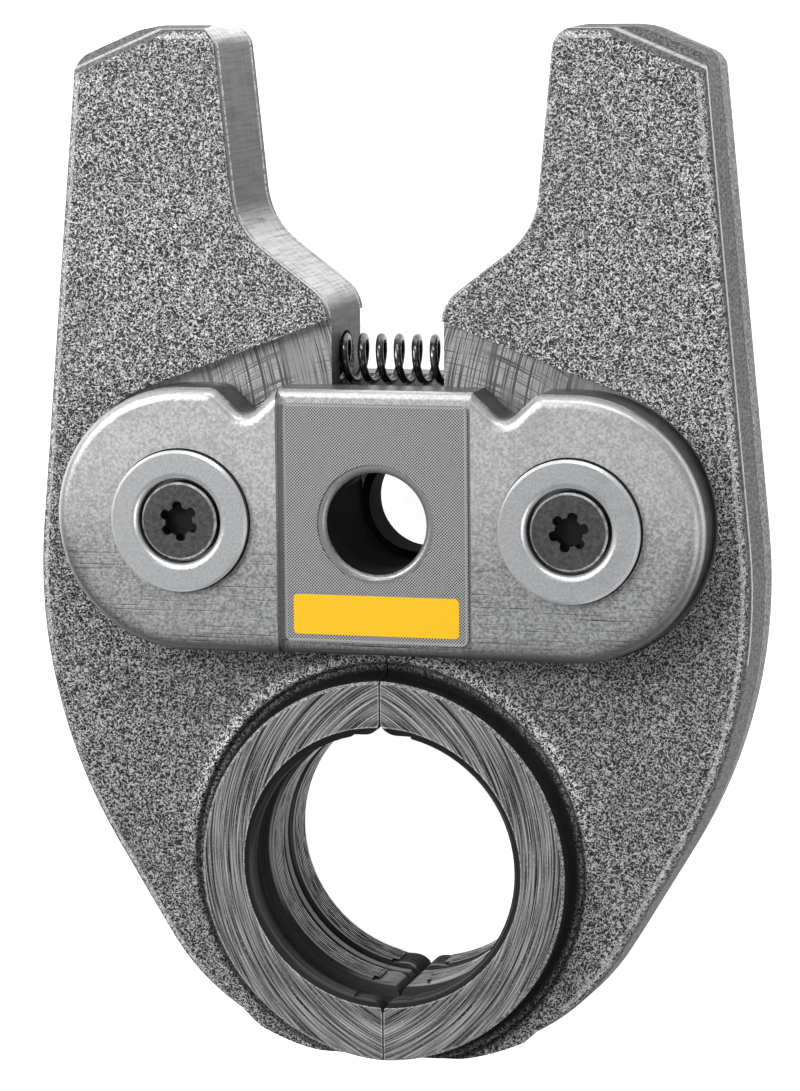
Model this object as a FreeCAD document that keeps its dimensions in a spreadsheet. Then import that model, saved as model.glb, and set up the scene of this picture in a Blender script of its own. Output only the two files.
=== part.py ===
import FreeCAD, Part
import math
import os
import re
import Sketcher

# Press fitting tool jaw: two forged levers swing on pivot pins between two link plates.
# Frame: origin at the centre of the retaining bore, X to the right pivot, Y along the arms,
# Z out of the labelled plate. Millimetres and degrees.

doc = FreeCAD.newDocument("PressJaw")
sheet = doc.addObject("Spreadsheet::Sheet", "Sizes")

SIZES = {
    # how far a cutting outline runs past the material
    "overcut": 2.0,
    # link plates
    "pivotHalf": 27.8,
    "plateEndRadius": 18.5,
    "plateInner": 7.55,
    "plateOuter": 16.0,
    "plateEdgeRound": 1.7,
    "channelEdgeRound": 1.1,
    "channelLand": 3.95,
    "channelDepth": 1.3,
    "boreRadius": 7.1,
    "boreEdge": 0.8,
    "notchInset": 9.3,
    "notchHalf": 4.5,
    "notchDepth": 4.2,
    "notchRound": 2.0,
    "notchLipRound": 2.4,
    # pivot pins, collars and screws
    "pinRadius": 6.5,
    "runningGap": 0.05,
    "collarRadius": 9.95,
    "collarGap": 0.2,
    "collarSeatDepth": 2.7,
    "collarProud": 1.3,
    "collarEdge": 0.4,
    "collarFloor": 1.0,
    "mouthGap": 0.5,
    "mouthRound": 0.9,
    "screwHeadRadius": 5.45,
    "screwHeadSunk": 0.35,
    "screwHeadEdge": 0.3,
    "screwShankRadius": 3.0,
    "screwLength": 16.0,
    "drillSpare": 0.5,
    "drillPoint": 1.5,
    "lobeTip": 2.8,
    "lobeHalf": 0.7,
    "lobeRound": 0.55,
    "lobeCore": 2.0,
    "lobeDepth": 2.0,
    "leftScrewAngle": 36.0,
    "rightScrewAngle": 15.0,
    # label
    "labelMarginX": 0.7,
    "labelMarginY": 1.8,
    "labelCorner": 1.2,
    "labelHoleMargin": 1.25,
    "labelThickness": 0.2,
    # jaw forging
    "jawHalf": 9.2,
    "jawDraftAngle": 2.5,
    "forgedEdgeRound": 1.7,
    "insideEdge": 0.35,
    "armTop": 68.1,
    "armTopFlat": 35.5,
    "armCornerX": 45.15,
    "armCornerY": 64.0,
    "armCornerRound": 2.6,
    "armTopRound": 8.0,
    "flankReach": 25.9,
    "flankY": -27.1,
    "flankRound": 75.4,
    "toeInset": 3.4,
    "toeLand": 0.3,
    "toeWall": 5.2,
    # machined inside of the arms
    "armInsideTop": 24.2,
    "armInsideLow": 21.45,
    "armInsideLowY": 40.2,
    "armMouthRound": 3.6,
    "armHollowRound": 11.0,
    "shoulderY": 30.05,
    "shoulderRound": 5.8,
    "slotClearance": 1.0,
    "slotFloorFlat": 0.5,
    "splitGap": 0.1,
    # tip bevels
    "tipBevelRise": 4.2,
    "tipBevelWidth": 2.6,
    # plate recess in the jaws
    "recessClearance": 0.6,
    "recessAngle": 20.5,
    # pressing ring
    "ringGap": 3.1,
    "ringWall": 8.2,
    "ringShift": 0.95,
    "ringProud": 4.55,
    "ringEdge": 0.4,
    "bossTrench": 1.7,
    "bossTrenchRound": 0.9,
    "bossCrest": 2.4,
    "bossLip": 0.9,
    "bossCrestRound": 0.5,
    "bossReach": 4.6,
    "bossRoot": 2.8,
    "bossMargin": 0.1,
    "contourRise": 0.6,
    "contourRadius": 19.0,
    "contourChamfer": 1.05,
    "contourChamferDepth": 0.75,
    "beadGrooveDepth": 2.0,
    "beadGrooveTaper": 1.0,
    "beadGrooveFront": 10.9,
    "beadGrooveBack": 3.5,
    "midLandBack": 2.0,
    "narrowGrooveDepth": 1.2,
    "ribFront": 3.7,
    "ribBack": 5.2,
    "ribSunk": 0.3,
    "backLandFront": 6.8,
    "splitRound": 2.2,
    # spring
    "springY": 21.4,
    "springCoilRadius": 3.1,
    "springWireRadius": 0.55,
    "springPitch": 2.6,
    "springPocketGap": 0.35,
    "springPocketDepth": 4.5,
}

# Sizes that follow from the driving ones.
DERIVED = {
    "channelHalf": "pivotHalf - collarRadius - channelLand",
    "channelFloor": "plateOuter - channelDepth",
    "notchCentre": "pivotHalf - notchInset",
    "collarSeat": "plateOuter - collarSeatDepth",
    "collarFace": "plateOuter + collarProud",
    "mouthRadius": "screwHeadRadius + mouthGap",
    "pivotBoreRadius": "pinRadius + runningGap",
    "screwSeat": "collarSeat + collarFloor",
    "screwTop": "collarFace - screwHeadSunk",
    "labelHalfWidth": "channelHalf - labelMarginX",
    "labelHalfHeight": "plateEndRadius - labelMarginY",
    "recessHalf": "plateInner - runningGap",
    "recessRadius": "plateEndRadius + recessClearance",
    "slotHalf": "boreRadius + slotClearance",
    "flankX": "pivotHalf + flankReach",
    "ringRadius": "contourRadius + ringWall",
    "ringHalf": "jawHalf + ringProud",
    "ringY": "recessRadius + ringGap + ringRadius",
    "contourY": "ringY - contourRise",
    "toeX": "ringRadius - toeInset",
    "toeY": "-(ringY + ringRadius + toeLand)",
    "toeRound": "ringRadius + toeWall",
    "springReach": "slotHalf + springPocketDepth - springWireRadius - runningGap",
}

for row, (name, size) in enumerate(SIZES.items(), start=1):
    sheet.set("A%d" % row, name)
    sheet.set("B%d" % row, str(size))
    sheet.setAlias("B%d" % row, name)
doc.recompute()


# A formula is written with bare names: a derived one is opened up, and the sheet's get its label.
def cells(formula):
    def opened(match):
        name = match.group(0)
        if name in DERIVED:
            return "(%s)" % cells(DERIVED[name])
        return "Sizes." + name if name in SIZES else name
    return re.sub("[A-Za-z]+", opened, formula)


def value(formula):
    result = sheet.evalExpression(cells(formula))
    return float(getattr(result, "Value", result))


def bind(item, prop, formula):
    item.setExpression(prop, cells(formula))


def newBody(label):
    body = doc.addObject("PartDesign::Body", label)
    body.Label = label
    return body


def originPlane(body, role):
    return next(item for item in body.Origin.OriginFeatures if item.Role == role)


def newSketch(body, name, role="XY_Plane", offset=("0", "0", "0")):
    sketch = body.newObject("Sketcher::SketchObject", name)
    sketch.AttachmentSupport = [(originPlane(body, role), "")]
    sketch.MapMode = "FlatFace"
    for axis, formula in zip("xyz", offset):
        if formula != "0":
            bind(sketch, ".AttachmentOffset.Base." + axis, formula)
    return sketch


def limit(sketch, constraint, formula):
    index = sketch.addConstraint(constraint)
    bind(sketch, "Constraints[%d]" % index, formula)


def pinPoint(sketch, geometry, point, x, y):
    limit(sketch, Sketcher.Constraint("DistanceX", -1, 1, geometry, point, value(x)), x)
    limit(sketch, Sketcher.Constraint("DistanceY", -1, 1, geometry, point, value(y)), y)


def addCircle(sketch, x, y, radius):
    centre = FreeCAD.Vector(value(x), value(y), 0)
    circle = sketch.addGeometry(Part.Circle(centre, FreeCAD.Vector(0, 0, 1), value(radius)), False)
    pinPoint(sketch, circle, 3, x, y)
    limit(sketch, Sketcher.Constraint("Radius", circle, value(radius)), radius)


# Half a disc, its flat side across X, bulging to +X or to -X.
def addHalfDisc(sketch, x, radius, end):
    centre = FreeCAD.Vector(value(x), 0, 0)
    size = value(radius)
    first = -math.pi / 2 if end == "+" else math.pi / 2
    circle = Part.Circle(centre, FreeCAD.Vector(0, 0, 1), size)
    arc = sketch.addGeometry(Part.ArcOfCircle(circle, first, first + math.pi), False)
    spots = [centre + FreeCAD.Vector(0, size * math.sin(angle), 0) for angle in (first, first + math.pi)]
    chord = sketch.addGeometry(Part.LineSegment(spots[1], spots[0]), False)
    sketch.addConstraint(Sketcher.Constraint("Coincident", arc, 2, chord, 1))
    sketch.addConstraint(Sketcher.Constraint("Coincident", arc, 1, chord, 2))
    sketch.addConstraint(Sketcher.Constraint("Vertical", chord))
    sketch.addConstraint(Sketcher.Constraint("PointOnObject", arc, 3, chord))
    pinPoint(sketch, arc, 3, x, "0")
    limit(sketch, Sketcher.Constraint("Radius", arc, size), radius)


# A closed outline from its corners: each corner is (x, y) or (x, y, rounding radius).
def addOutline(sketch, corners):
    count = len(corners)
    spots = [FreeCAD.Vector(value(corner[0]), value(corner[1]), 0) for corner in corners]
    rounds = [corner[2] if len(corner) > 2 else None for corner in corners]
    arrive, leave, turns = [], [], []
    for index in range(count):
        toBefore = (spots[index - 1] - spots[index]).normalize()
        toAfter = (spots[(index + 1) % count] - spots[index]).normalize()
        turns.append(toBefore.cross(toAfter).z)
        reach = 0.0
        if rounds[index]:
            reach = value(rounds[index]) / math.tan(toBefore.getAngle(toAfter) / 2)
        arrive.append(spots[index] + toBefore * reach)
        leave.append(spots[index] + toAfter * reach)
    points = []
    lines = []
    for index in range(count):
        point = sketch.addGeometry(Part.Point(spots[index]), True)
        pinPoint(sketch, point, 1, corners[index][0], corners[index][1])
        points.append(point)
    for index in range(count):
        following = (index + 1) % count
        line = sketch.addGeometry(Part.LineSegment(leave[index], arrive[following]), False)
        lines.append(line)
        for end, corner in ((1, index), (2, following)):
            if rounds[corner]:
                sketch.addConstraint(Sketcher.Constraint("PointOnObject", points[corner], 1, line))
            else:
                sketch.addConstraint(Sketcher.Constraint("Coincident", line, end, points[corner], 1))
    for index in range(count):
        if rounds[index]:
            addRounding(sketch, spots[index], arrive[index], leave[index], turns[index],
                        lines[index - 1], lines[index], rounds[index])


def addRounding(sketch, corner, start, finish, turn, lineIn, lineOut, radius):
    size = value(radius)
    middle = (start + finish) * 0.5 - corner
    reach = math.hypot((start - corner).Length, size)
    centre = corner + middle.normalize() * reach
    angles = [math.atan2((spot - centre).y, (spot - centre).x) for spot in (start, finish)]
    counterClockwise = turn < 0
    if not counterClockwise:
        angles.reverse()
    circle = Part.Circle(centre, FreeCAD.Vector(0, 0, 1), size)
    arc = sketch.addGeometry(Part.ArcOfCircle(circle, angles[0], angles[1]), False)
    first, last = (1, 2) if counterClockwise else (2, 1)
    sketch.addConstraint(Sketcher.Constraint("Tangent", lineIn, 2, arc, first))
    sketch.addConstraint(Sketcher.Constraint("Tangent", arc, last, lineOut, 1))
    limit(sketch, Sketcher.Constraint("Radius", arc, size), radius)


def addPad(body, name, sketch, length, reverse=False):
    pad = body.newObject("PartDesign::Pad", name)
    pad.Profile = sketch
    bind(pad, "Length", length)
    pad.Reversed = reverse
    doc.recompute()
    return pad


# A pocket must take something away, so the volume is compared.
def addPocket(body, name, sketch, length=None, reverse=False):
    before = body.Shape.Volume
    pocket = body.newObject("PartDesign::Pocket", name)
    pocket.Profile = sketch
    if length is None:
        pocket.Type = "ThroughAll"
        pocket.Midplane = True
    else:
        bind(pocket, "Length", length)
    pocket.Reversed = reverse
    doc.recompute()
    if not body.Shape.Volume < before:
        raise RuntimeError(body.Label + " " + name + " removes nothing")
    return pocket


def turnProfile(body, name, sketch, kind):
    feature = body.newObject("PartDesign::" + kind, name)
    feature.Profile = sketch
    feature.ReferenceAxis = (sketch, ["V_Axis"])
    feature.Angle = 360
    doc.recompute()
    return feature


def edgesWhere(shape, test):
    return ["Edge%d" % (index + 1) for index, edge in enumerate(shape.Edges) if test(edge)]


def liesAt(edge, height):
    return all(abs(vertex.Z - height) < 0.001 for vertex in edge.Vertexes)


def dressEdges(body, name, kind, test, size):
    base = body.Tip
    names = edgesWhere(base.Shape, test)
    feature = body.newObject("PartDesign::" + kind, name)
    feature.Base = (base, names)
    bind(feature, "Radius" if kind == "Fillet" else "Size", size)
    doc.recompute()
    return feature


# A formula for the piece towards +X or +Z, or with its sign turned for its twin.
def signed(side, formula):
    return "-(%s)" % formula if side == "-" else formula


# A link plate: two raised ends, each with a notch in its upper edge, and a lower web between them.
def makePlate(label, side):
    body = newBody(label)
    body.AllowCompound = True
    back = side == "-"
    level = ("0", "0", signed(side, "plateInner"))
    outer = value(signed(side, "plateOuter"))
    step = value("channelHalf")
    for end in ("+", "-"):
        land = newSketch(body, "LandSketch", offset=level)
        corners = [("channelHalf", "-plateEndRadius"), ("pivotHalf", "-plateEndRadius"),
                   ("pivotHalf", "plateEndRadius"),
                   ("notchCentre + notchHalf", "plateEndRadius", "notchLipRound"),
                   ("notchCentre", "plateEndRadius - notchDepth", "notchRound"),
                   ("channelHalf", "plateEndRadius")]
        if end == "-":
            corners = [(signed(end, corner[0]),) + corner[1:] for corner in reversed(corners)]
        addOutline(land, corners)
        addPad(body, "Land", land, "plateOuter - plateInner", back)
        disc = newSketch(body, "EndSketch", offset=level)
        addHalfDisc(disc, signed(end, "pivotHalf"), "plateEndRadius", end)
        addPad(body, "End", disc, "plateOuter - plateInner", back)
        facing = 1 if end == "+" else -1
        dressEdges(body, "OuterEdge", "Fillet",
                   lambda edge: liesAt(edge, outer) and any(facing * spot.X > step + 0.001
                                                            for spot in edge.Vertexes), "plateEdgeRound")
    web = newSketch(body, "WebSketch", "YZ_Plane", offset=("0", "0", "-channelHalf"))
    inner, floor = signed(side, "plateInner"), signed(side, "channelFloor")
    addOutline(web, [("-plateEndRadius", inner), ("plateEndRadius", inner),
                     ("plateEndRadius", floor, "channelEdgeRound"),
                     ("-plateEndRadius", floor, "channelEdgeRound")])
    addPad(body, "Web", web, "channelHalf * 2")
    bore = newSketch(body, "BoreSketch")
    addCircle(bore, "0", "0", "boreRadius")
    for pivot in ("pivotHalf", "-pivotHalf"):
        addCircle(bore, pivot, "0", "pivotBoreRadius")
    addPocket(body, "Bores", bore)
    seats = newSketch(body, "SeatSketch", offset=("0", "0", signed(side, "plateOuter")))
    for pivot in ("pivotHalf", "-pivotHalf"):
        addCircle(seats, pivot, "0", "collarRadius + collarGap")
    addPocket(body, "CollarSeats", seats, "collarSeatDepth", back)
    dressEdges(body, "BoreEdge", "Fillet",
               lambda edge: liesAt(edge, value(floor)) and edge.Curve.TypeId == "Part::GeomCircle"
               and abs(edge.Curve.Radius - value("boreRadius")) < 0.001, "boreEdge")
    return body


# A turned piece: its profile of (radius, height) corners goes round the pivot.
def makeTurned(label, side, profile):
    body = newBody(label)
    sketch = newSketch(body, "Profile", "XZ_Plane")
    addOutline(sketch, profile)
    turnProfile(body, "Turned", sketch, "Revolution")
    bind(body, ".Placement.Base.x", signed(side, "pivotHalf"))
    doc.recompute()
    return body


def makePin(label, side):
    drill = "screwShankRadius + runningGap"
    bottom = "screwSeat - screwLength - drillSpare"
    return makeTurned(label, side, [
        ("0", "-collarFace"), ("collarRadius - collarEdge", "-collarFace"),
        ("collarRadius", "-collarFace + collarEdge"), ("collarRadius", "-collarSeat"),
        ("pinRadius", "-collarSeat"), ("pinRadius", "collarSeat - collarEdge"),
        ("pinRadius - collarEdge", "collarSeat"), (drill, "collarSeat"), (drill, bottom),
        ("0", bottom + " - drillPoint")])


def makeCollar(label, side):
    drill = "screwShankRadius + collarGap"
    return makeTurned(label, side, [
        (drill, "collarSeat"), ("collarRadius - collarEdge", "collarSeat"),
        ("collarRadius", "collarSeat + collarEdge"), ("collarRadius", "collarFace - collarEdge"),
        ("collarRadius - collarEdge", "collarFace"), ("mouthRadius", "collarFace", "mouthRound"),
        ("mouthRadius", "screwSeat"), (drill, "screwSeat")])


# A screw with a six-lobed recess: a round core and three rounded slots across it.
def makeScrew(label, side, turn):
    foot = "screwSeat - screwLength"
    body = makeTurned(label, side, [
        ("0", foot), ("screwShankRadius - screwHeadEdge", foot),
        ("screwShankRadius", foot + " + screwHeadEdge"), ("screwShankRadius", "screwSeat"),
        ("screwHeadRadius", "screwSeat"), ("screwHeadRadius", "screwTop - screwHeadEdge"),
        ("screwHeadRadius - screwHeadEdge", "screwTop"), ("0", "screwTop")])
    core = newSketch(body, "CoreSketch", offset=("0", "0", "screwTop"))
    addCircle(core, "0", "0", "lobeCore")
    addPocket(body, "Core", core, "lobeDepth")
    slot = newSketch(body, "LobeSketch", offset=("0", "0", "screwTop"))
    slot.AttachmentOffset.Rotation = FreeCAD.Rotation(FreeCAD.Vector(0, 0, 1), value(turn))
    bind(slot, ".AttachmentOffset.Rotation.Angle", turn)
    addOutline(slot, [("-lobeTip", "-lobeHalf", "lobeRound"), ("lobeTip", "-lobeHalf", "lobeRound"),
                      ("lobeTip", "lobeHalf", "lobeRound"), ("-lobeTip", "lobeHalf", "lobeRound")])
    lobes = addPocket(body, "Lobes", slot, "lobeDepth")
    ring = body.newObject("PartDesign::PolarPattern", "LobeRing")
    ring.Originals = [lobes]
    ring.Axis = (slot, ["N_Axis"])
    ring.Angle = 360
    ring.Occurrences = 6
    body.Tip = ring
    doc.recompute()
    return body


def makeLabel(label):
    body = newBody(label)
    foil = newSketch(body, "FoilSketch", offset=("0", "0", "channelFloor"))
    corners = []
    for sideX, sideY in (("-", "-"), ("+", "-"), ("+", "+"), ("-", "+")):
        corners.append((signed(sideX, "labelHalfWidth"), signed(sideY, "labelHalfHeight"), "labelCorner"))
    addOutline(foil, corners)
    addCircle(foil, "0", "0", "boreRadius + labelHoleMargin")
    addPad(body, "Foil", foil, "labelThickness")
    return body


# The drafted forging of the right jaw, before anything is machined.
def addForging(body):
    blank = newSketch(body, "ForgingSketch")
    inner = "armInsideLow - armMouthRound"
    addOutline(blank, [
        ("-overcut", "toeY"), ("toeX", "toeY", "toeRound"), ("flankX", "flankY", "flankRound"),
        ("armCornerX", "armCornerY", "armCornerRound"), ("armTopFlat", "armTop", "armTopRound"),
        (inner, "armTop"), (inner, "armInsideLowY + overcut"), ("-overcut", "shoulderY - overcut")])
    pad = body.newObject("PartDesign::Pad", "Forging")
    pad.Profile = blank
    pad.SideType = "Two sides"
    for prop in ("Length", "Length2"):
        bind(pad, prop, "jawHalf")
    for prop in ("TaperAngle", "TaperAngle2"):
        bind(pad, prop, "-jawDraftAngle")
    doc.recompute()


# Ground bevels along the slope of the arm's tip, front and back: the sketch stands across the slope.
def addTipBevels(body):
    for face in ("+", "-"):
        bevel = newSketch(body, "TipBevelSketch", "XZ_Plane", offset=("armCornerX", "0", "-armCornerY"))
        bevel.AttachmentOffset.Rotation = FreeCAD.Rotation(FreeCAD.Vector(0, 1, 0), 60)
        bind(bevel, ".AttachmentOffset.Rotation.Angle",
             "atan((armCornerX - armTopFlat) / (armTop - armCornerY))")
        face0 = signed(face, "jawHalf")
        foot = signed(face, "jawHalf - tipBevelRise * (1 + overcut / tipBevelWidth)")
        addOutline(bevel, [("-tipBevelWidth", face0), ("overcut", foot), ("overcut", face0)])
        addPocket(body, "TipBevel", bevel)


# The jaw thins to a web between the link plates: round the pivot and along a slope above it.
def addRecess(body):
    for face in ("+", "-"):
        level = ("0", "0", signed(face, "recessHalf"))
        disc = newSketch(body, "RecessDiscSketch", offset=level)
        addCircle(disc, "pivotHalf", "0", "recessRadius")
        addPocket(body, "RecessDisc", disc, "jawHalf", face == "+")
        web = newSketch(body, "RecessWebSketch", offset=level)
        rise = "(recessRadius + (pivotHalf + overcut) * sin(recessAngle)) / cos(recessAngle)"
        addOutline(web, [("-overcut", "-recessRadius"), ("pivotHalf", "-recessRadius"),
                         ("pivotHalf + recessRadius * sin(recessAngle)", "recessRadius * cos(recessAngle)"),
                         ("-overcut", rise)])
        addPocket(body, "RecessWeb", web, "jawHalf", face == "+")


# Everything inside the arms, down the slot to the seat of the retaining pin, and the split.
def addInside(body):
    inside = newSketch(body, "InsideSketch")
    addOutline(inside, [
        ("splitGap", "toeY - overcut"), ("splitGap", "-slotHalf"),
        ("slotHalf", "-slotHalf", "slotHalf - slotFloorFlat"), ("slotHalf", "shoulderY", "shoulderRound"),
        ("armInsideLow", "armInsideLowY", "armHollowRound"),
        ("armInsideTop", "armTop", "armMouthRound"), ("armTopFlat", "armTop"),
        ("armTopFlat", "armTop + overcut"), ("-slotHalf", "armTop + overcut"),
        ("-slotHalf", "toeY - overcut")])
    addPocket(body, "Inside", inside)


# The ring stands out of a forged boss, whose rest is a low lip beyond the turned wall.
def addRing(body):
    ring = newSketch(body, "RingSketch", "XZ_Plane", offset=("-ringShift", "0", "ringY"))
    half = [("0", "ringHalf"), ("ringRadius - ringEdge", "ringHalf"), ("ringRadius", "ringHalf - ringEdge"),
            ("ringRadius", "jawHalf", "bossTrenchRound"), ("ringRadius + bossTrench", "jawHalf"),
            ("ringRadius + bossCrest", "jawHalf + bossLip", "bossCrestRound"),
            ("ringRadius + bossReach", "jawHalf"), ("ringRadius", "jawHalf - bossRoot")]
    back = [(corner[0], "-(%s)" % corner[1]) + corner[2:] for corner in half]
    addOutline(ring, back + half[::-1])
    turnProfile(body, "Ring", ring, "Revolution")


# The boss round the ring stops at the outline of the forging's toe.
def trimBoss(body):
    trim = newSketch(body, "BossTrimSketch")
    below = "toeY - bossReach - overcut"
    beside = "flankX + bossMargin"
    addOutline(trim, [("-overcut", below), ("-overcut", "toeY - bossMargin"),
                      ("toeX", "toeY - bossMargin", "toeRound"),
                      (beside, "flankY"), (beside, below)])
    addPocket(body, "BossTrim", trim)


# The pressing contour: lands that crimp the fitting, with the bead groove between them.
def addContour(body):
    contour = newSketch(body, "ContourSketch", "XZ_Plane", offset=("0", "0", "contourY"))
    over = "contourRadius + contourChamfer * (1 + overcut / contourChamferDepth)"
    mouth = "ringHalf - contourChamferDepth"
    beyond = "ringHalf + overcut"
    bead = "contourRadius + beadGrooveDepth"
    narrow = "contourRadius + narrowGrooveDepth"
    rib = "contourRadius + ribSunk"
    addOutline(contour, [
        ("0", "-(%s)" % beyond), (over, "-(%s)" % beyond), ("contourRadius", "-(%s)" % mouth),
        ("contourRadius", "-backLandFront"), (narrow, "-backLandFront + ribSunk"),
        (narrow, "-ribBack - ribSunk"), (rib, "-ribBack"), (rib, "-ribFront"),
        (narrow, "-ribFront + ribSunk"), (narrow, "-midLandBack - ribSunk"),
        ("contourRadius", "-midLandBack"), ("contourRadius", "beadGrooveBack"),
        (bead, "beadGrooveBack + beadGrooveTaper"), (bead, "beadGrooveFront - beadGrooveTaper"),
        ("contourRadius", "beadGrooveFront"), ("contourRadius", mouth), (over, beyond), ("0", beyond)])
    before = body.Shape.Volume
    turnProfile(body, "Contour", contour, "Groove")
    if not body.Shape.Volume < before:
        raise RuntimeError(body.Label + " contour removes nothing")


# The two halves meet at the split, whose inner corners are rounded back from the contour.
def addSplit(body):
    split = newSketch(body, "SplitSketch")
    far = "-(ringRadius + bossReach + overcut)"
    top = "-(recessRadius - overcut)"
    low = "toeY - bossReach - overcut"
    addOutline(split, [("splitGap", low), ("splitGap", top), (far, top), (far, low)])
    addPocket(body, "Split", split)
    land = "sqrt(contourRadius ^ 2 - splitRound ^ 2)"
    side = "splitGap + splitRound + overcut"
    for end, word in (("+", "Top"), ("-", "Bottom")):
        floor = "-contourY + %s" % signed(end, land)
        over = "-contourY + %s" % signed(end, "(%s + splitRound + overcut)" % land)
        under = "-contourY + %s" % signed(end, "(%s - splitRound)" % land)
        cusp = newSketch(body, word + "CuspSketch")
        addOutline(cusp, [("-splitGap", over), ("splitGap", over), ("splitGap", floor, "splitRound"),
                          (side, floor), (side, under), ("-splitGap", under)])
        addPocket(body, word + "Cusp", cusp)


# An edge of the machined inside, from the shoulder up along the inner wall of the arm.
def isMachined(edge):
    middle = edge.valueAt((edge.FirstParameter + edge.LastParameter) / 2)
    low, high = value("shoulderY - overcut"), value("armTop - armMouthRound")
    return low < middle.y < high and middle.x < value("armInsideTop")


def makeJaw(label):
    body = newBody(label)
    half = value("jawHalf")
    addForging(body)
    dressEdges(body, "ForgedEdge", "Fillet",
               lambda edge: liesAt(edge, half) or liesAt(edge, -half), "forgedEdgeRound")
    addInside(body)
    dressEdges(body, "InsideEdge", "Fillet",
               lambda edge: (liesAt(edge, half) or liesAt(edge, -half)) and isMachined(edge), "insideEdge")
    addTipBevels(body)
    addRing(body)
    trimBoss(body)
    addRecess(body)
    addSplit(body)
    addContour(body)
    pivot = newSketch(body, "PivotSketch")
    addCircle(pivot, "pivotHalf", "0", "pivotBoreRadius")
    addPocket(body, "PivotBore", pivot)
    pocket = newSketch(body, "SpringSketch", "YZ_Plane", offset=("0", "0", "slotHalf"))
    addCircle(pocket, "springY", "0", "springCoilRadius + springWireRadius + springPocketGap")
    addPocket(body, "SpringPocket", pocket, "springPocketDepth", True)
    return body


def makeTwin(label, source):
    twin = doc.addObject("Part::Mirroring", label)
    twin.Label = label
    twin.Source = source
    twin.Normal = FreeCAD.Vector(1, 0, 0)
    doc.recompute()
    return twin


def makeSpring(label):
    body = newBody(label)
    wire = newSketch(body, "WireSketch", "XZ_Plane")
    addCircle(wire, "springCoilRadius", "0", "springWireRadius")
    coil = body.newObject("PartDesign::AdditiveHelix", "Coil")
    coil.Profile = wire
    coil.ReferenceAxis = (wire, ["V_Axis"])
    coil.Mode = 0
    bind(coil, "Pitch", "springPitch")
    bind(coil, "Height", "springReach * 2")
    doc.recompute()
    lying = FreeCAD.Rotation(FreeCAD.Vector(0, 1, 0), 90)
    body.Placement = FreeCAD.Placement(FreeCAD.Vector(0, 0, 0), lying)
    bind(body, ".Placement.Base.x", "-springReach")
    bind(body, ".Placement.Base.y", "springY")
    doc.recompute()
    return body


rightJaw = makeJaw("right_jaw")
makeTwin("left_jaw", rightJaw)
makePlate("front_plate", "+")
makePlate("back_plate", "-")
for side, word in (("-", "left"), ("+", "right")):
    makePin(word + "_pivot_pin", side)
    makeCollar(word + "_collar", side)
    makeScrew(word + "_screw", side, word + "ScrewAngle")
makeLabel("front_label")
makeSpring("closing_spring")

faults = [item.Name for item in doc.Objects if "Invalid" in item.State or "Error" in item.State]
bodies = [item for item in doc.Objects if item.TypeId in ("PartDesign::Body", "Part::Mirroring")]
faults += [body.Label for body in bodies if body.Shape.isNull() or not body.Shape.isValid()]
if faults:
    raise RuntimeError("these objects failed: " + ", ".join(faults))

os.makedirs("parts", exist_ok=True)
for body in bodies:
    box = body.Shape.optimalBoundingBox()
    print("%s: %.0f cubic mm, x %.2f..%.2f y %.2f..%.2f z %.2f..%.2f" % (
        body.Label, body.Shape.Volume, box.XMin, box.XMax, box.YMin, box.YMax, box.ZMin, box.ZMax))
    body.Shape.exportStep("parts/%s.step" % body.Label)
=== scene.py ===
import math

import bpy
from mathutils import Matrix, Vector


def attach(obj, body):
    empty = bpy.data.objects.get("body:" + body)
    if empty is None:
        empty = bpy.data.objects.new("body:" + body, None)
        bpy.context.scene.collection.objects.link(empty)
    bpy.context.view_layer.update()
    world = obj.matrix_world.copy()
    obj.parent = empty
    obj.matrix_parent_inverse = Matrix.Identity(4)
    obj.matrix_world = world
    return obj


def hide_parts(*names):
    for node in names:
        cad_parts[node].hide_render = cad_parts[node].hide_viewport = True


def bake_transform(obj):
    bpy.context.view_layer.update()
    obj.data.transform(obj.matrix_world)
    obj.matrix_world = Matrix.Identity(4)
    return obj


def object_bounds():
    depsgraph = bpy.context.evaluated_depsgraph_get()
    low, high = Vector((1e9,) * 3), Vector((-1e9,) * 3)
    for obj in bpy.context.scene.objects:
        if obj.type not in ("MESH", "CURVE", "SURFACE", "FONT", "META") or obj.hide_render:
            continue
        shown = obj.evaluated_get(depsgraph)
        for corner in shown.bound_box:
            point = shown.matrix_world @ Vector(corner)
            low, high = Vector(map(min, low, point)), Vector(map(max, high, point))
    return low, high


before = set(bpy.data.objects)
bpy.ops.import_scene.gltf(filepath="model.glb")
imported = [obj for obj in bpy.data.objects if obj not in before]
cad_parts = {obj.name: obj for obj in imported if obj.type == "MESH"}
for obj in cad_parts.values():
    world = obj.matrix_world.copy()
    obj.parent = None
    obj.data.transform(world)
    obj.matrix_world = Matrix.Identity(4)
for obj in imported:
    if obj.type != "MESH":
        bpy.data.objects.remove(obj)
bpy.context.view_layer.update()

# Everything is in metres, in the frame of the part: X to the right pivot, Y along the arms, Z up.


# Node helpers: a number or colour goes on the socket, and another node's socket is linked to it.

def put(tree, kind, values=None, **settings):
    node = tree.nodes.new(kind)
    for name, setting in settings.items():
        setattr(node, name, setting)
    for key, value in (values or {}).items():
        give(tree, node.inputs[key], value)
    return node


def give(tree, socket, value):
    if isinstance(value, bpy.types.NodeSocket):
        tree.links.new(value, socket)
    else:
        socket.default_value = value


def calc(tree, operation, first, second=0.0, third=0.0):
    values = {0: first, 1: second}
    if operation == "MULTIPLY_ADD":
        values[2] = third
    return put(tree, "ShaderNodeMath", values, operation=operation).outputs[0]


def vectorCalc(tree, operation, first, second=(0.0, 0.0, 0.0)):
    node = put(tree, "ShaderNodeVectorMath", {0: first, 1: second}, operation=operation)
    return node.outputs["Value"] if operation == "LENGTH" else node.outputs[0]


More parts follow.
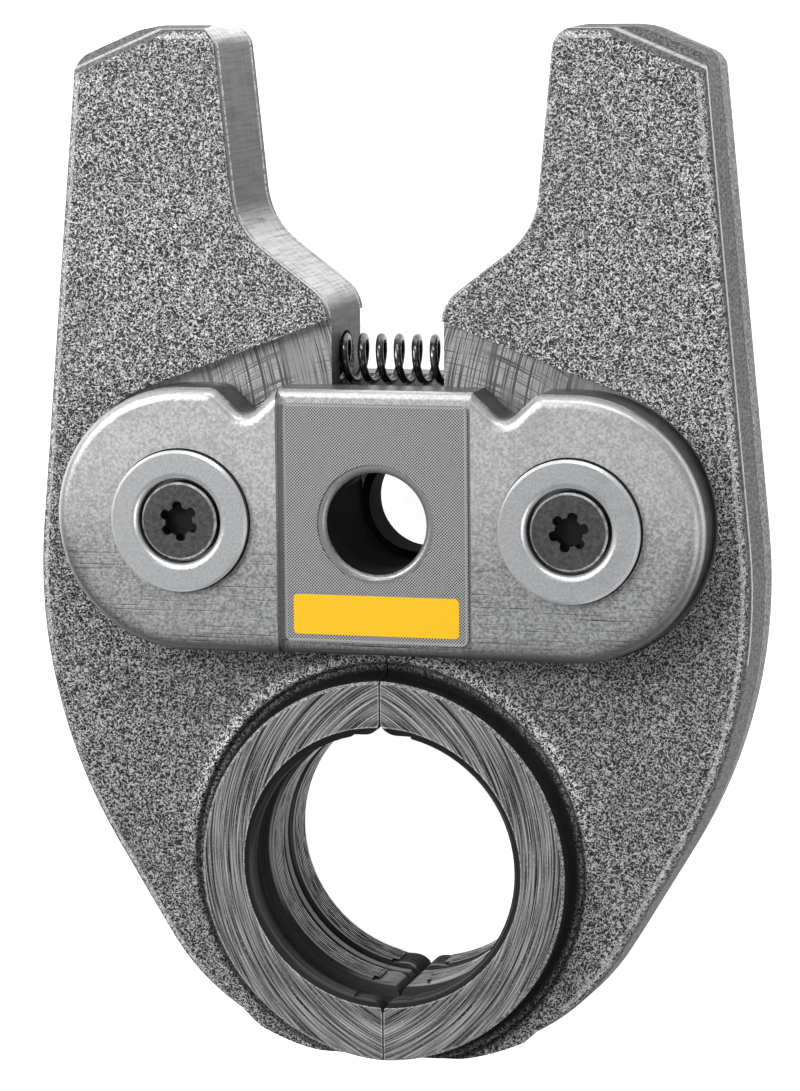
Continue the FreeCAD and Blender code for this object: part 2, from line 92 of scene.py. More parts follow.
def joinAxes(tree, x, y, z=0.0):
    return put(tree, "ShaderNodeCombineXYZ", {0: x, 1: y, 2: z}).outputs[0]


def away(tree, x, y, centreX, centreY):
    fromX = calc(tree, "SUBTRACT", x, centreX)
    fromY = calc(tree, "SUBTRACT", y, centreY)
    return vectorCalc(tree, "LENGTH", joinAxes(tree, fromX, fromY))


def rise(tree, value, low, high, bottom=0.0, top=1.0):
    return put(tree, "ShaderNodeMapRange",
               {"Value": value, "From Min": low, "From Max": high, "To Min": bottom, "To Max": top},
               interpolation_type="SMOOTHSTEP").outputs[0]


def between(tree, value, low, high, soft):
    up = rise(tree, value, low - soft, low + soft)
    down = rise(tree, value, high - soft, high + soft, 1.0, 0.0)
    return times(tree, up, down)


def times(tree, first, *others):
    for other in others:
        first = calc(tree, "MULTIPLY", first, other)
    return first


def highest(tree, first, *others):
    for other in others:
        first = calc(tree, "MAXIMUM", first, other)
    return first


def blendColour(tree, share, first, second):
    node = put(tree, "ShaderNodeMix", data_type="RGBA")
    for index, value in ((0, share), (6, first), (7, second)):
        give(tree, node.inputs[index], value)
    return node.outputs[2]


def blendValue(tree, share, first, second):
    return calc(tree, "MULTIPLY_ADD", share, calc(tree, "SUBTRACT", second, first), first)


def noise(tree, vector, scale, detail=2.0, rough=0.5, distort=0.0):
    return put(tree, "ShaderNodeTexNoise",
               {"Vector": vector, "Scale": scale, "Detail": detail, "Roughness": rough,
                "Distortion": distort}).outputs["Fac"]


def stretched(tree, vector, scale):
    return vectorCalc(tree, "MULTIPLY", vector, scale)


def grey(level, warm=0.0):
    return (level * (1 + warm), level, level * (1 - warm), 1.0)


def blendTones(tree, share, tones):
    return blendColour(tree, share, *(grey(tone) for tone in tones))


def bump(tree, height, distance, strength):
    return put(tree, "ShaderNodeBump",
               {"Height": height, "Distance": distance, "Strength": strength}).outputs[0]


def newMaterial(name, metallic):
    material = bpy.data.materials.new(name)
    material.use_nodes = True
    tree = material.node_tree
    shader = tree.nodes["Principled BSDF"]
    shader.inputs["Metallic"].default_value = metallic
    return material, tree, shader


def finishWith(tree, shader, colour, roughness, normal):
    give(tree, shader.inputs["Base Color"], colour)
    give(tree, shader.inputs["Roughness"], roughness)
    tree.links.new(normal, shader.inputs["Normal"])


# Where a face lies (spot, x, y, z) and how it turns (its normal's y, and z without its sign).
def partAxes(tree, *wanted):
    where = put(tree, "ShaderNodeTexCoord")
    spot = where.outputs["Object"]
    x, y, z = put(tree, "ShaderNodeSeparateXYZ", {0: spot}).outputs
    faces = put(tree, "ShaderNodeSeparateXYZ", {0: where.outputs["Normal"]}).outputs
    axes = {"spot": spot, "x": x, "y": y, "z": z, "ny": faces[1], "nz": calc(tree, "ABSOLUTE", faces[2])}
    return [axes[name] for name in wanted]


# Forged and machined steel of the jaws. The skin is blasted, and each cutter left its own lines.
jawLook = {
    "metallic": 0.6,
    "half": 0.0092,                 # half thickness of the forging
    "ringHalf": 0.01375,
    "ringCentre": (-0.00095, -0.0494),
    "ringRadius": 0.0272,
    "bossReach": 0.0318,
    "contourY": -0.0488,
    "contourRadius": 0.019,
    "contourReach": 0.0213,
    "mouthRadius": 0.02005,
    "recessHalf": 0.0075,
    "recessLowY": -0.0191,
    "wallReach": 0.0275,            # walls inside the arms lie nearer to the middle than this
    "wallLowY": -0.0095,
    "holeReach": 0.0086,
    "turningCentre": (-0.012, -0.047),
    "recessCentreA": (0.004, -0.010),
    "recessCentreB": (0.062, 0.010),
    "recessPlain": 0.028,           # the milled arcs fade out from here
    "grain": 0.00052,
    "fineShare": 2.3,
    "wormHalf": 0.09,
    "wormShare": 0.30,
    "grainContrast": (0.32, 0.70),
    "armward": (-0.028, 0.035),     # the skin turns paler between these heights
    "cloudScale": 60.0,
    "streakScale": (2600.0, 2600.0, 1100.0),
    "wallAcross": (140.0, 140.0, 3800.0),
    "wallDown": (2600.0, 2600.0, 120.0),
    "landScale": (50.0, 50.0, 3600.0),
    "patchScale": 170.0,
    "scratchScale": 2600.0,
    "recessStep": 0.00025,
    "recessTurns": 90.0,
    "faceStep": 0.00030,
    "faceTurns": 14.0,
    "faceFineStep": 0.00015,
    "faceFineTurns": 130.0,
    "facePitch": 0.00046,
    "bodyTone": (0.012, 0.68),      # dark and pale grain, low on the body
    "armTone": (0.018, 0.88),       # the same on the arms
    "cloudTone": 0.12,
    "streakTone": (0.035, 0.60),
    # painted shade on the outer flanks: its tone, and how much of the streaked flank shows through on each
    # half
    "flankShadeTone": 0.02,
    "flankFrontLitShare": 0.26,
    "flankBackLitShare": 0.56,
    "partingTone": 0.012,
    "wallTone": (0.05, 0.12),
    "wallLitTone": 0.66,
    "recessTone": (0.12, 0.56),
    "faceTone": (0.022, 0.48),
    "faceScratch": 0.55,
    "landTone": (0.015, 0.09),
    "grooveShadeTone": 0.022,
    "shadeTone": 0.016,
    "holeShadeTone": 0.006,
    "lipHighlightTone": 0.92,
    "edgeHighlightTone": 0.74,
    "skinRough": 0.60,
    "cutRough": 0.36,
    "wallRough": 0.55,
    "grooveRough": 0.75,
    "trenchRough": 0.9,
    "bumpDepth": 0.00014,
    "bumpStrength": 0.8,
}

# How far a jaw's finishes fade, measured from the sizes above.
jawFades = {
    "frontHalf": (-0.0003, 0.0003),
    "parting": (0.00012, 0.0004),
    "offBoss": (0.0002, 0.0005),
    "wallSide": (0.0005, 0.0),
    "wallLow": (0.0, 0.001),
    "recessHeight": (-0.0002, 0.0004),
    "recessSoft": 0.0002,
    "recessLow": (-0.0001, 0.0001),
    "recessInner": (0.0, -0.004),
    "bore": (0.0006, 0.0),
    "faceHeight": (-0.0003, -0.0001),
    "trench": (0.0021, 0.0006),
    "trenchHeight": (-0.0020, -0.0012),
    "lip": (0.0023, 0.0038),
    "lipSoft": 0.0004,
    "lipLitY": (-0.052, -0.034),
    "hole": (0.0004, 0.0),
    "sunk": (0.00025, 0.0006),
    "chamferHeight": (-0.0009, -0.0006),
    "chamferOut": (-0.0014, -0.0009),
    "split": (0.00034, 0.00018),
    "mouth": (0.00022, 0.0001),
    "outerEdge": (-0.00045, -0.0003),
}


def jawFade(tree, value, start, name):
    low, high = jawFades[name]
    return rise(tree, value, start + low, start + high)


def skinGrain(tree, spot):
    coarse = noise(tree, spot, 1 / jawLook["grain"], 1.5, 0.6, 0.5)
    offMiddle = calc(tree, "ABSOLUTE", calc(tree, "SUBTRACT", coarse, 0.5))
    worm = rise(tree, offMiddle, 0.0, jawLook["wormHalf"], 1.0, 0.0)
    fine = noise(tree, spot, jawLook["fineShare"] / jawLook["grain"], 2.0, 0.7)
    share = jawLook["wormShare"]
    mixed = calc(tree, "MULTIPLY_ADD", worm, share, times(tree, fine, 1 - share))
    return rise(tree, mixed, *jawLook["grainContrast"])


def cutLines(tree, x, y, centre, step, turns):
    radius = away(tree, x, y, *centre)
    along = joinAxes(tree, calc(tree, "DIVIDE", radius, step),
                     times(tree, x, turns), times(tree, y, turns))
    return noise(tree, along, 1.0, 1.0, 0.5)


def jawSkin(tree, spot, x, y, z, nz):
    speckle = skinGrain(tree, spot)
    armward = rise(tree, y, *jawLook["armward"])
    dark, pale = (blendColour(tree, armward, grey(low), grey(high, 0.01)) for low, high in
                  zip(jawLook["bodyTone"], jawLook["armTone"]))
    skin = blendColour(tree, speckle, dark, pale)
    cloud = noise(tree, spot, jawLook["cloudScale"], 3.0, 0.6)
    stain = times(tree, rise(tree, cloud, 0.4, 0.7), 0.18)
    skin = blendColour(tree, stain, skin, grey(jawLook["cloudTone"]))
    # flank: streaks down the draft, with painted shade over them that is darker on the front half, and the
    # parting line between
    streaks = noise(tree, stretched(tree, spot, jawLook["streakScale"]), 1.0, 2.0, 0.7)
    flank = blendTones(tree, rise(tree, streaks, 0.32, 0.70), jawLook["streakTone"])
    frontHalf = jawFade(tree, z, 0.0, "frontHalf")
    shade = blendValue(tree, frontHalf, jawLook["flankBackLitShare"], jawLook["flankFrontLitShare"])
    flank = blendColour(tree, shade, grey(jawLook["flankShadeTone"]), flank)
    parting = rise(tree, calc(tree, "ABSOLUTE", z), *jawFades["parting"], 0.75, 0.0)
    flank = blendColour(tree, parting, flank, grey(jawLook["partingTone"]))
    skin = blendColour(tree, rise(tree, nz, 0.80, 0.45), skin, flank)
    # the rounded edge catches light where it leaves the face, and is dark below
    ragged = calc(tree, "MULTIPLY_ADD", calc(tree, "SUBTRACT", speckle, 0.5), 0.10, nz)
    ringOut = away(tree, calc(tree, "ABSOLUTE", x), y, *jawLook["ringCentre"])
    crest = times(tree, rise(tree, ragged, 0.80, 0.84), rise(tree, nz, 0.985, 0.970),
                  jawFade(tree, ringOut, jawLook["bossReach"], "offBoss"),
                  rise(tree, cloud, 0.30, 0.50), calc(tree, "MULTIPLY_ADD", speckle, 0.55, 0.35))
    skin = blendColour(tree, crest, skin, grey(jawLook["edgeHighlightTone"], 0.02))
    return skin, speckle


def wallTones(tree, spot, ny):
    acrossWall = noise(tree, stretched(tree, spot, jawLook["wallAcross"]), 1.0, 2.0, 0.6)
    downWall = noise(tree, stretched(tree, spot, jawLook["wallDown"]), 1.0, 2.0, 0.6)
    wallLines = calc(tree, "MULTIPLY_ADD", acrossWall, 0.5, times(tree, downWall, 0.5))
    wall = blendTones(tree, rise(tree, wallLines, 0.35, 0.65), jawLook["wallTone"])
    # walls that face up, towards the lamps, get painted light along their cut lines
    litFromAbove = times(tree, rise(tree, ny, 0.2, 0.75), rise(tree, wallLines, 0.2, 0.6))
    return blendColour(tree, litFromAbove, wall, grey(jawLook["wallLitTone"], 0.01)), wallLines


# Two families of milled arcs cross near the middle of the recess.
def recessTones(tree, spot, y, side):
    arcsA, arcsB = (cutLines(tree, side, y, jawLook[name], jawLook["recessStep"], jawLook["recessTurns"])
                    for name in ("recessCentreA", "recessCentreB"))
    patch = noise(tree, spot, jawLook["patchScale"], 2.0, 0.5)
    inner = times(tree, jawFade(tree, side, jawLook["recessPlain"], "recessInner"),
                  rise(tree, patch, 0.30, 0.55))
    crossing = blendValue(tree, inner, 0.5, calc(tree, "ADD", arcsA, 0.06))
    strength = calc(tree, "MULTIPLY_ADD", inner, 0.70, 0.30)
    recessLines = blendValue(tree, strength, 0.5, calc(tree, "MINIMUM", arcsB, crossing))
    return blendTones(tree, rise(tree, recessLines, 0.34, 0.60), jawLook["recessTone"]), recessLines


def ringFaceTones(tree, spot, y, side):
    centre = jawLook["turningCentre"]
    turned = cutLines(tree, side, y, centre, jawLook["faceStep"], jawLook["faceTurns"])
    streaks = cutLines(tree, side, y, centre, jawLook["faceFineStep"], jawLook["faceFineTurns"])
    scratch = noise(tree, spot, jawLook["scratchScale"], 2.0, 0.7)
    waves = times(tree, away(tree, side, y, *centre), 2 * math.pi / jawLook["facePitch"])
    feed = rise(tree, calc(tree, "SINE", waves), 0.1, 0.9)
    feedMarks = times(tree, feed, rise(tree, turned, 0.40, 0.60), 0.62)
    dark = jawLook["faceTone"][0]
    face = blendTones(tree, rise(tree, streaks, 0.28, 0.70), jawLook["faceTone"])
    face = blendColour(tree, times(tree, rise(tree, scratch, 0.54, 0.74), 0.55), face,
                       grey(jawLook["faceScratch"]))
    face = blendColour(tree, feedMarks, face, grey(dark))
    deepest = times(tree, rise(tree, turned, 0.46, 0.37), 0.9)
    return blendColour(tree, deepest, face, grey(dark * 0.4)), turned


def jawSteel():
    material, tree, shader = newMaterial("jawSteel", jawLook["metallic"])
    spot, x, y, z, ny, nz = partAxes(tree, "spot", "x", "y", "z", "ny", "nz")
    side = calc(tree, "ABSOLUTE", x)
    height = calc(tree, "ABSOLUTE", z)
    skin, speckle = jawSkin(tree, spot, x, y, z, nz)
    wall, wallLines = wallTones(tree, spot, ny)
    recess, recessLines = recessTones(tree, spot, y, side)
    face, turned = ringFaceTones(tree, spot, y, side)

    # where each finish lies
    radius = jawLook["ringRadius"]
    ringOut = away(tree, side, y, *jawLook["ringCentre"])
    boreOut = away(tree, x, y, 0.0, jawLook["contourY"])
    holeOut = away(tree, x, y, 0.0, 0.0)
    onWall = times(tree, rise(tree, nz, 0.035, 0.02), jawFade(tree, y, jawLook["wallLowY"], "wallLow"),
                   jawFade(tree, side, jawLook["wallReach"], "wallSide"))
    recessFloor = between(tree, height, *(jawLook["recessHalf"] + step for step in jawFades["recessHeight"]),
                          jawFades["recessSoft"])
    onRecess = times(tree, recessFloor, jawFade(tree, y, jawLook["recessLowY"], "recessLow"))
    inBore = jawFade(tree, boreOut, jawLook["contourReach"], "bore")
    onFace = times(tree, jawFade(tree, height, jawLook["ringHalf"], "faceHeight"), rise(tree, nz, 0.9, 0.97))
    inTrench = times(tree, jawFade(tree, ringOut, radius, "trench"),
                     jawFade(tree, height, jawLook["half"], "trenchHeight"))
    onLip = between(tree, ringOut, *(radius + step for step in jawFades["lip"]), jawFades["lipSoft"])
    inHole = times(tree, jawFade(tree, holeOut, jawLook["holeReach"], "hole"), rise(tree, nz, 0.6, 0.3))

    # contour inside the ring: polished lands, and grooves darkened with painted shade
    landWave = noise(tree, stretched(tree, spot, jawLook["landScale"]), 1.0, 2.0, 0.6)
    land = blendTones(tree, rise(tree, landWave, 0.4, 0.62), jawLook["landTone"])
    sunk = jawFade(tree, boreOut, jawLook["contourRadius"], "sunk")
    land = blendColour(tree, times(tree, sunk, 0.9), land, grey(jawLook["grooveShadeTone"]))

    colour = blendColour(tree, onWall, skin, wall)
    colour = blendColour(tree, onRecess, colour, recess)
    # painted highlight on the lit upper part of the boss's lip
    lipHighlight = times(tree, onLip, rise(tree, speckle, 0.15, 0.55), rise(tree, y, *jawFades["lipLitY"]), 0.9)
    colour = blendColour(tree, lipHighlight, colour, grey(jawLook["lipHighlightTone"], 0.02))
    colour = blendColour(tree, inTrench, colour, grey(jawLook["shadeTone"]))
    colour = blendColour(tree, inBore, colour, land)
    colour = blendColour(tree, onFace, colour, face)
    # painted highlights on the ring's chamfers, split corners and worn edges
    chamfer = times(tree, jawFade(tree, height, jawLook["ringHalf"], "chamferHeight"),
                    between(tree, nz, 0.45, 0.9, 0.08), jawFade(tree, ringOut, radius, "chamferOut"), 0.75)
    splitEdge = times(tree, onFace, jawFade(tree, side, 0.0, "split"), 0.5)
    innerEdge = times(tree, onFace, jawFade(tree, boreOut, jawLook["mouthRadius"], "mouth"), 0.6)
    outerEdge = times(tree, onFace, jawFade(tree, ringOut, radius, "outerEdge"), 0.7)
    bright = times(tree, highest(tree, chamfer, splitEdge, innerEdge, outerEdge),
                   rise(tree, speckle, -0.3, 0.6))
    colour = blendColour(tree, bright, colour, grey(jawLook["edgeHighlightTone"], 0.01))
    # painted shade inside the retaining bore
    colour = blendColour(tree, inHole, colour, grey(jawLook["holeShadeTone"]))

    machined = highest(tree, onWall, onRecess, onFace, inBore)
    relief = blendValue(tree, machined, speckle, 0.5)
    for where, share, lines in ((onWall, 0.35, wallLines), (onRecess, 0.6, recessLines),
                                (onFace, 0.7, turned), (inBore, 0.35, landWave)):
        relief = blendValue(tree, times(tree, where, share), relief, lines)
    rough = highest(tree, blendValue(tree, machined, jawLook["skinRough"], jawLook["cutRough"]),
                    times(tree, onWall, jawLook["wallRough"]),
                    times(tree, inBore, sunk, jawLook["grooveRough"]),
                    inHole, times(tree, inTrench, jawLook["trenchRough"]))
    finishWith(tree, shader, colour, rough,
               bump(tree, relief, jawLook["bumpDepth"], jawLook["bumpStrength"]))
    return material


# Tumbled steel of the link plates, with painted light on the upper part, painted shade on the lower part,
# and long scratches below.
plateLook = {
    "metallic": 0.7,
    "fineScale": 2400.0,
    "patchScale": 150.0,
    "scratchScale": (55.0, 3000.0, 3000.0),
    "drift": 0.012,                 # how far the patches shift the change from painted light to painted shade
    "lightToShadeY": (0.0075, -0.0085),
    "scratchY": (-0.001, -0.0085),
    "litUpperTone": (0.46, 0.76),
    "shadedLowerTone": (0.25, 0.58),
    "stain": 0.40,
    "scratchTone": 0.03,
    "rimTone": 0.36,
    "shadeTone": 0.05,
    "channelShadeTone": 0.26,
    "sideShadeTone": 0.07,
    "holeShadeTone": 0.006,
    "floorHeight": 0.0147,
    "floorSoft": 0.0003,
    "floorEndY": (0.0166, 0.0162),
    "pivotHalf": 0.0278,
    "endRadius": 0.0185,
    "endRound": 0.0050,             # width of the shaded round on a plate's end
    "shadeY": (0.003, -0.009),
    "sideX": (0.0141, 0.0143),
    "sideY": (0.0170, 0.0175),
    "rimFromBore": (0.0095, 0.0105),
    "boreEdge": (0.0074, 0.0072),
    "backEdge": (0.0085, 0.0082),
    "backDepth": (-0.0145, -0.0050),
    "backSoft": 0.0002,
    "rough": 0.40,
    "bumpDepth": 0.00004,
    "bumpStrength": 0.6,
}


def plateSteel():
    material, tree, shader = newMaterial("plateSteel", plateLook["metallic"])
    spot, x, y, z, nz = partAxes(tree, "spot", "x", "y", "z", "nz")
    side = calc(tree, "ABSOLUTE", x)
    level = calc(tree, "ABSOLUTE", y)
    fromBore = away(tree, x, y, 0.0, 0.0)
    pivot = plateLook["pivotHalf"]
    fromPivot = away(tree, calc(tree, "MAXIMUM", side, pivot), y, pivot, 0.0)
    # painted light above, painted shade below, with patches
    fine = noise(tree, spot, plateLook["fineScale"], 2.0, 0.6)
    patches = noise(tree, spot, plateLook["patchScale"], 4.0, 0.65)
    mottle = rise(tree, fine, 0.3, 0.7)
    brightTone, paleTone = plateLook["litUpperTone"]
    upper = blendColour(tree, mottle, grey(brightTone), grey(paleTone, 0.01))
    lower = blendTones(tree, mottle, plateLook["shadedLowerTone"])
    drifted = calc(tree, "MULTIPLY_ADD", calc(tree, "SUBTRACT", patches, 0.5), plateLook["drift"], y)
    colour = blendColour(tree, rise(tree, drifted, *plateLook["lightToShadeY"]), upper, lower)
    stain = times(tree, rise(tree, patches, 0.50, 0.75), 0.5)
    colour = blendColour(tree, stain, colour, grey(plateLook["stain"]))
    field = noise(tree, stretched(tree, spot, plateLook["scratchScale"]), 1.0, 2.0, 0.6, 0.1)
    scratches = times(tree, rise(tree, field, 0.53, 0.68), rise(tree, y, *plateLook["scratchY"]))
    colour = blendColour(tree, times(tree, scratches, 0.75), colour, grey(plateLook["scratchTone"]))
    # rounded rim, shade on the ends' lower round, and painted shade on the floor beside the label
    rim = times(tree, between(tree, nz, 0.35, 0.96, 0.05), rise(tree, fromBore, *plateLook["rimFromBore"]),
                0.65)
    colour = blendColour(tree, rim, colour, grey(plateLook["rimTone"], 0.01))
    endRadius = plateLook["endRadius"]
    onRound = rise(tree, fromPivot, endRadius - plateLook["endRound"], endRadius)
    shade = times(tree, onRound, onRound, rise(tree, y, *plateLook["shadeY"]), 0.75)
    colour = blendColour(tree, shade, colour, grey(plateLook["shadeTone"]))
    floor, soft = plateLook["floorHeight"], plateLook["floorSoft"]
    onChannelFloor = times(tree, between(tree, z, floor - soft, floor + soft, soft / 3),
                    rise(tree, level, *plateLook["floorEndY"]), 0.85)
    colour = blendColour(tree, onChannelFloor, colour, grey(plateLook["channelShadeTone"]))
    # painted shade on the sides and in the holes
    outside = highest(tree, rise(tree, side, *plateLook["sideX"]), rise(tree, level, *plateLook["sideY"]))
    onSide = times(tree, outside, rise(tree, nz, 0.15, 0.05), 0.9)
    colour = blendColour(tree, onSide, colour, grey(plateLook["sideShadeTone"]))
    frontHole = times(tree, rise(tree, fromBore, *plateLook["boreEdge"]), rise(tree, nz, 0.4, 0.2))
    backHole = times(tree, rise(tree, fromBore, *plateLook["backEdge"]),
                     between(tree, z, *plateLook["backDepth"], plateLook["backSoft"]))
    inHole = highest(tree, frontHole, backHole)
    colour = blendColour(tree, inHole, colour, grey(plateLook["holeShadeTone"]))
    relief = calc(tree, "MULTIPLY_ADD", scratches, -0.7, fine)
    finishWith(tree, shader, colour, highest(tree, plateLook["rough"], inHole),
               bump(tree, relief, plateLook["bumpDepth"], plateLook["bumpStrength"]))
    return material


# Washers and pin heads: bright dished steel, with a painted highlight on the chamfered edge.
collarLook = {
    "metallic": 0.75,
    "fineScale": 2600.0,
    "patchScale": 260.0,
    "tone": (0.56, 0.70),
    "stain": 0.42,
    "rimTone": 0.88,
    "sideShadeTone": 0.16,
    "rough": 0.36,
    "bumpDepth": 0.00003,
}


def collarSteel():
    material, tree, shader = newMaterial("collarSteel", collarLook["metallic"])
    spot, nz = partAxes(tree, "spot", "nz")
    fine = noise(tree, spot, collarLook["fineScale"], 2.0, 0.6)
    colour = blendTones(tree, rise(tree, fine, 0.3, 0.7), collarLook["tone"])
    patches = noise(tree, spot, collarLook["patchScale"], 4.0, 0.6)
    stain = times(tree, rise(tree, patches, 0.5, 0.8), 0.6)
    colour = blendColour(tree, stain, colour, grey(collarLook["stain"]))
    # painted highlight on the chamfered rim
    rim = times(tree, between(tree, nz, 0.30, 0.90, 0.05), 0.7)
    colour = blendColour(tree, rim, colour, grey(collarLook["rimTone"]))
    # painted shade on the upright sides
    colour = blendColour(tree, rise(tree, nz, 0.15, 0.05), colour, grey(collarLook["sideShadeTone"]))
    finishWith(tree, shader, colour, collarLook["rough"], bump(tree, fine, collarLook["bumpDepth"], 0.5))
    return material


screwLook = {
    "metallic": 0.55,
    "fineScale": 1800.0,
    "wearAndGlintScale": 900.0,
    "tone": (0.055, 0.115),
    "rimTone": 0.50,
    "recessTone": 0.012,
    "recessZ": (0.01685, 0.01640),
    "rough": 0.42,
    "bumpDepth": 0.00003,
}


def screwBlack():
    material, tree, shader = newMaterial("screwBlack", screwLook["metallic"])
    spot, z, nz = partAxes(tree, "spot", "z", "nz")
    fine = noise(tree, spot, screwLook["fineScale"], 3.0, 0.6)
    colour = blendTones(tree, rise(tree, fine, 0.3, 0.75), screwLook["tone"])
    # painted shade in the drive recess of the head
    sunk = rise(tree, z, *screwLook["recessZ"])
    colour = blendColour(tree, sunk, colour, grey(screwLook["recessTone"]))
    # the head's chamfered rim: partly worn bright, partly a painted highlight
    wearAndGlint = rise(tree, noise(tree, spot, screwLook["wearAndGlintScale"], 2.0, 0.6), 0.35, 0.65)
    rim = times(tree, between(tree, nz, 0.3, 0.92, 0.05), calc(tree, "MULTIPLY_ADD", wearAndGlint, 0.5, 0.4))
    colour = blendColour(tree, rim, colour, grey(screwLook["rimTone"]))
    finishWith(tree, shader, colour, screwLook["rough"], bump(tree, fine, screwLook["bumpDepth"], 0.5))
    return material


# Printed foil: a fine check in two greys, with a pale line round it.
labelLook = {
    "metallic": 0.2,
    "halfWidth": 0.0132,
    "halfHeight": 0.0167,
    "check": 0.00022,
    "grainScale": 900.0,
    "tone": (0.022, 0.46),
    "grainTone": 0.26,
    "lineInset": 0.00022,
    "lineWidth": 0.00022,
    "lineTone": 0.55,
    "rimTone": 0.30,
    "rimSoft": 0.0001,
    "lineSoft": 0.00006,
    "rough": 0.45,
    "bumpDepth": 0.00001,
}


def labelFoil():
    material, tree, shader = newMaterial("labelFoil", labelLook["metallic"])
    spot, x, y = partAxes(tree, "spot", "x", "y")
    check = put(tree, "ShaderNodeTexChecker", {
        "Vector": joinAxes(tree, x, y), "Scale": 1 / labelLook["check"]}).outputs["Fac"]
    grain = noise(tree, spot, labelLook["grainScale"], 2.0, 0.6)
    colour = blendTones(tree, check, labelLook["tone"])
    colour = blendColour(tree, times(tree, rise(tree, grain, 0.35, 0.75), 0.35), colour,
                         grey(labelLook["grainTone"]))
    inX = calc(tree, "SUBTRACT", labelLook["halfWidth"], calc(tree, "ABSOLUTE", x))
    inY = calc(tree, "SUBTRACT", labelLook["halfHeight"], calc(tree, "ABSOLUTE", y))
    inset = calc(tree, "MINIMUM", inX, inY)
    start = labelLook["lineInset"]
    rim = times(tree, rise(tree, inset, start, start - labelLook["rimSoft"]), 0.4)
    colour = blendColour(tree, rim, colour, grey(labelLook["rimTone"]))
    line = between(tree, inset, start, start + labelLook["lineWidth"], labelLook["lineSoft"])
    colour = blendColour(tree, times(tree, line, 0.4), colour, grey(labelLook["lineTone"]))
    finishWith(tree, shader, colour, labelLook["rough"], bump(tree, grain, labelLook["bumpDepth"], 0.4))
    return material


wireLook = {"metallic": 0.9, "scale": 1500.0, "tone": (0.05, 0.16), "rough": 0.24, "bumpDepth": 0.00002}


def springWire():
    material, tree, shader = newMaterial("springWire", wireLook["metallic"])
    [spot] = partAxes(tree, "spot")
    drawn = noise(tree, spot, wireLook["scale"], 2.0, 0.6)
    colour = blendTones(tree, rise(tree, drawn, 0.35, 0.7), wireLook["tone"])
    finishWith(tree, shader, colour, wireLook["rough"], bump(tree, drawn, wireLook["bumpDepth"], 0.4))
    return material


def barYellow():
    material, tree, shader = newMaterial("barYellow", 0.0)
    [spot] = partAxes(tree, "spot")
    grain = noise(tree, spot, barLook["grainScale"], 2.0, 0.6)
    colour = blendColour(tree, times(tree, grain, 0.25), barLook["yellow"], barLook["deepYellow"])
    finishWith(tree, shader, colour, barLook["rough"], bump(tree, grain, barLook["bumpDepth"], 0.3))
    return material


def dressNodes():
    finishes = {
        "jaw": jawSteel(), "plate": plateSteel(), "pivot_pin": collarSteel(), "screw": screwBlack(),
        "label": labelFoil(), "spring": springWire()}
    finishes["collar"] = finishes["pivot_pin"]
    for name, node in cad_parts.items():
        kind = next(word for word in finishes if name.endswith(word))
        node.data.materials.clear()
        node.data.materials.append(finishes[kind])
    print("finishes given to", len(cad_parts), "nodes")
    return finishes


# Geometry Nodes: a tree is built here, its sizes are its inputs, and its result becomes a plain mesh.

def newTree(name, sizes):
    tree = bpy.data.node_groups.new(name, "GeometryNodeTree")
    kinds = {float: "NodeSocketFloat", int: "NodeSocketInt", tuple: "NodeSocketVector"}
    for label, value in sizes.items():
        kind = kinds.get(type(value), "NodeSocketMaterial")
        tree.interface.new_socket(label, in_out="INPUT", socket_type=kind)
    tree.interface.new_socket("Geometry", in_out="OUTPUT", socket_type="NodeSocketGeometry")
    return tree, tree.nodes.new("NodeGroupInput").outputs


def sweepTube(tree, path, wireRadius, sides):
    profile = put(tree, "GeometryNodeCurvePrimitiveCircle", {"Resolution": sides, "Radius": wireRadius})
    return put(tree, "GeometryNodeCurveToMesh",
               {"Curve": path, "Profile Curve": profile.outputs[0], "Fill Caps": True}).outputs[0]


def endTree(tree, geometry, material):
    smooth = put(tree, "GeometryNodeSetShadeSmooth", {0: geometry}).outputs[0]
    whole = put(tree, "GeometryNodeRealizeInstances", {0: smooth}).outputs[0]
    painted = put(tree, "GeometryNodeSetMaterial", {"Geometry": whole, "Material": material}).outputs[0]
    tree.links.new(painted, tree.nodes.new("NodeGroupOutput").inputs[0])


def growPiece(name, tree, sizes):
    holder = bpy.data.objects.new(name + "_seed", bpy.data.meshes.new(name + "_seed"))
    bpy.context.scene.collection.objects.link(holder)
    modifier = holder.modifiers.new("grow", "NODES")
    modifier.node_group = tree
    for item in tree.interface.items_tree:
        if item.in_out == "INPUT":
            modifier[item.identifier] = sizes[item.name]
    grown = holder.evaluated_get(bpy.context.evaluated_depsgraph_get())
    mesh = bpy.data.meshes.new_from_object(grown)
    holder.modifiers.remove(modifier)
    bpy.data.objects.remove(holder)
    piece = bpy.data.objects.new(name, mesh)
    bpy.context.scene.collection.objects.link(piece)
    return piece


# The closing spring: closed end turns in the pockets, open ones between.
springLook = {
    "Centre": (0.0, 0.0214, 0.0),
    "Reach": 0.0120,
    "Coil Radius": 0.0031,
    "Wire Radius": 0.00055,
    "Turns": 10.25,
    "End Turns": 0.9,
    "Closed Pitch": 0.00112,
    "Steps": 190,
    "Wire Sides": 14,
}
springPocketMouth = 0.0081


